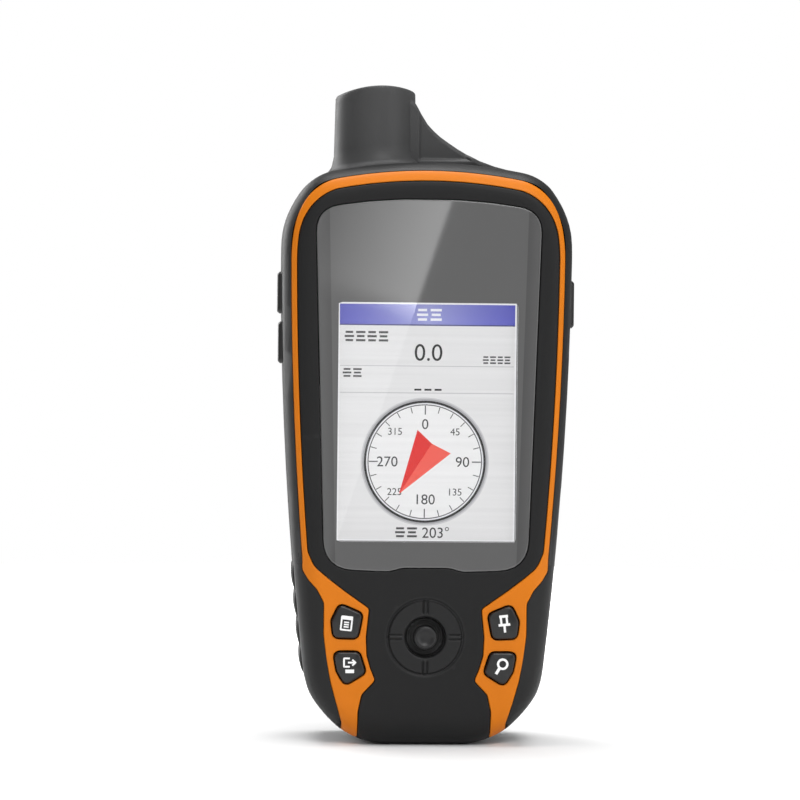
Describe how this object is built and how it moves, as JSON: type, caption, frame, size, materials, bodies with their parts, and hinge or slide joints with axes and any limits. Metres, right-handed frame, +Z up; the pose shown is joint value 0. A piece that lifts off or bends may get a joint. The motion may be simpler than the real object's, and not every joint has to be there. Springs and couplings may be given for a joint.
{
  "type": "handheld gps unit",
  "caption": "Handheld GPS unit with a tall display window, face keys round a joystick, an antenna stub and a rear battery cover.",
  "frame": {"origin": "centre of the flat foot on the bottom end", "axes": "+Z up the unit towards the antenna, -Y the way the screen faces, +X to the right of someone looking at the screen"},
  "size_m": [0.0723, 0.0387, 0.16],
  "materials": {
    "black_plastic": "fine moulded texture, satin",
    "orange_plastic": "smooth moulded, semi-gloss",
    "grip_rubber": "overmoulded rubber, matt",
    "window_glass": "tinted, polished",
    "display_glass": "display surface",
    "tape": "black foam tape",
    "tray_metal": "pressed sheet",
    "board": "solder resist over glass fibre",
    "key_rubber": "moulded keys with printed signs",
    "seal_rubber": "soft seal",
    "switch_plastic": "switch bodies",
    "steel": "stainless",
    "ceramic": "ceramic core",
    "cell_jacket": "plain printed jacket",
    "copper_lead": "lead jacket",
    "gold": "gold plated"
  },
  "bodies": {
    "case": {"front_bezel": "black_plastic", "trim_band": "orange_plastic", "rear_housing": "black_plastic", "side_grip_left": "grip_rubber", "side_grip_right": "grip_rubber", "screen_window": "window_glass", "window_tape": "tape", "display_panel": "display_glass", "display_tray": "tray_metal", "main_board": "board", "board_screws": "steel", "perimeter_seal": "seal_rubber", "keypad_mat": "seal_rubber", "dome_switches": "switch_plastic", "joystick_boot": "seal_rubber", "joystick_housing": "switch_plastic", "side_switches": "switch_plastic", "buzzer": "switch_plastic", "receiver_shield": "steel", "antenna_board": "board", "antenna_core": "ceramic", "antenna_coax": "copper_lead", "coax_plug": "gold", "battery_left": "cell_jacket", "battery_right": "cell_jacket", "contact_plates": "steel", "contact_springs": "steel", "port_board": "board", "usb_socket": "steel", "antenna_jack": "gold", "lanyard_bar": "steel", "case_screws": "steel"},
    "menu_key": {"menu_key": "key_rubber"},
    "exit_key": {"exit_key": "key_rubber"},
    "mark_key": {"mark_key": "key_rubber"},
    "find_key": {"find_key": "key_rubber"},
    "zoom_in_key": {"zoom_in_key": "key_rubber"},
    "zoom_out_key": {"zoom_out_key": "key_rubber"},
    "power_key": {"power_key": "key_rubber"},
    "stick_gimbal": {"joystick_gimbal": "steel"},
    "stick_rocker": {"joystick_rocker": "steel"},
    "stick": {"joystick_stem": "steel", "joystick_knob": "key_rubber"},
    "cover": {"battery_cover": "black_plastic", "cover_seal": "seal_rubber"},
    "latch": {"latch_hub": "steel"},
    "latch_ring": {"latch_ring": "steel"},
    "port_flap": {"port_cover": "grip_rubber"}
  },
  "joints": [
    {"name": "menu_key_press", "type": "slide", "parent": "case", "child": "menu_key", "axis": [0, 1, 0], "range_m": [0, 0.0005], "stiffness_N_per_m": 900, "springref_m": -0.0006},
    {"name": "exit_key_press", "type": "slide", "parent": "case", "child": "exit_key", "axis": [0, 1, 0], "range_m": [0, 0.0005], "stiffness_N_per_m": 900, "springref_m": -0.0006},
    {"name": "mark_key_press", "type": "slide", "parent": "case", "child": "mark_key", "axis": [0, 1, 0], "range_m": [0, 0.0005], "stiffness_N_per_m": 900, "springref_m": -0.0006},
    {"name": "find_key_press", "type": "slide", "parent": "case", "child": "find_key", "axis": [0, 1, 0], "range_m": [0, 0.0005], "stiffness_N_per_m": 900, "springref_m": -0.0006},
    {"name": "zoom_in_key_press", "type": "slide", "parent": "case", "child": "zoom_in_key", "axis": [1, 0, 0], "range_m": [0, 0.0005], "stiffness_N_per_m": 900, "springref_m": -0.0006},
    {"name": "zoom_out_key_press", "type": "slide", "parent": "case", "child": "zoom_out_key", "axis": [1, 0, 0], "range_m": [0, 0.0005], "stiffness_N_per_m": 900, "springref_m": -0.0006},
    {"name": "power_key_press", "type": "slide", "parent": "case", "child": "power_key", "axis": [-1, 0, 0], "range_m": [0, 0.0005], "stiffness_N_per_m": 900, "springref_m": -0.0006},
    {"name": "stick_up_down", "type": "hinge", "parent": "case", "child": "stick_gimbal", "pos_m": [0, -0.01245, 0.0265], "axis": [1, 0, 0], "range_deg": [-7, 7], "stiffness_Nm_per_rad": 0.02},
    {"name": "stick_left_right", "type": "hinge", "parent": "stick_gimbal", "child": "stick_rocker", "pos_m": [0, -0.01245, 0.0265], "axis": [0, 0, 1], "range_deg": [-7, 7], "stiffness_Nm_per_rad": 0.02},
    {"name": "stick_press", "type": "slide", "parent": "stick_rocker", "child": "stick", "axis": [0, 1, 0], "range_m": [0, 0.0004], "stiffness_N_per_m": 900, "springref_m": -0.0006},
    {"name": "cover_lift", "type": "slide", "parent": "case", "child": "cover", "axis": [0, 1, 0], "range_m": [0, 0.014]},
    {"name": "latch_turn", "type": "hinge", "parent": "cover", "child": "latch", "pos_m": [0, 0.0175, 0.0295], "axis": [0, 1, 0], "range_deg": [0, 90]},
    {"name": "latch_ring_fold", "type": "hinge", "parent": "latch", "child": "latch_ring", "pos_m": [0, 0.0184, 0.0321], "axis": [1, 0, 0], "range_deg": [0, 90]},
    {"name": "port_cover_open", "type": "hinge", "parent": "case", "child": "port_flap", "pos_m": [-0.00265, 0.0122, 0.1195], "axis": [0, 0, 1], "range_deg": [0, 95]}
  ]
}
